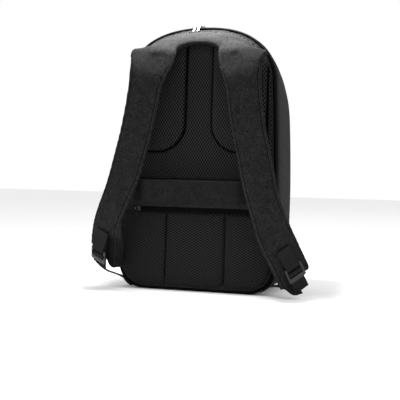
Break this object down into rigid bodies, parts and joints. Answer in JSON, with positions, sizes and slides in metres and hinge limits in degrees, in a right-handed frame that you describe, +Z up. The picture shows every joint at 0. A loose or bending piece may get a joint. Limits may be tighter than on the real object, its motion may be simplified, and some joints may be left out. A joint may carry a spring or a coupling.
{
  "type": "anti theft backpack",
  "caption": "Slim charcoal rucksack with a padded mesh back, shoulder straps with webbing locks, a hidden rear opening and a trolley strap.",
  "frame": {"origin": "middle of the flat base, on the surface the rucksack stands on", "axes": "+Z up along the back, -Y towards the wearer's back (the strap side), +Y towards the smooth front"},
  "size_m": [0.3731, 0.2088, 0.4474],
  "materials": {
    "cloth": "matte charcoal polyester cloth",
    "strap_cloth": "matte charcoal polyester cloth, slightly lighter",
    "mesh": "black spacer mesh with open cells",
    "trim": "black tape, piping and zip teeth",
    "webbing": "woven dark webbing",
    "plastic": "satin moulded plastic",
    "metal": "dark polished zip metal"
  },
  "bodies": {
    "root": {"front_shell": "cloth", "zip_band": "trim", "rim_piping": "trim", "zip_chain": "trim", "zip_slider_left": "metal", "zip_slider_right": "metal", "zip_pull_left": "metal", "zip_pull_right": "metal", "back_panel": "cloth", "upper_mesh": "mesh", "shoulder_pad_left": "mesh", "shoulder_pad_right": "mesh", "pocket_band": "cloth", "pocket_zip": "trim", "pocket_slider": "metal", "pocket_puller": "webbing", "lumbar_pad": "mesh", "lumbar_wing_left": "mesh", "lumbar_wing_right": "mesh", "yoke": "strap_cloth", "shoulder_strap_left": "strap_cloth", "shoulder_strap_right": "strap_cloth", "strap_patch_left": "webbing", "strap_patch_right": "webbing", "ladder_lock_left": "plastic", "ladder_lock_right": "plastic", "lower_webbing_left": "webbing", "lower_webbing_right": "webbing", "trolley_strap": "strap_cloth"}
  },
  "joints": []
}
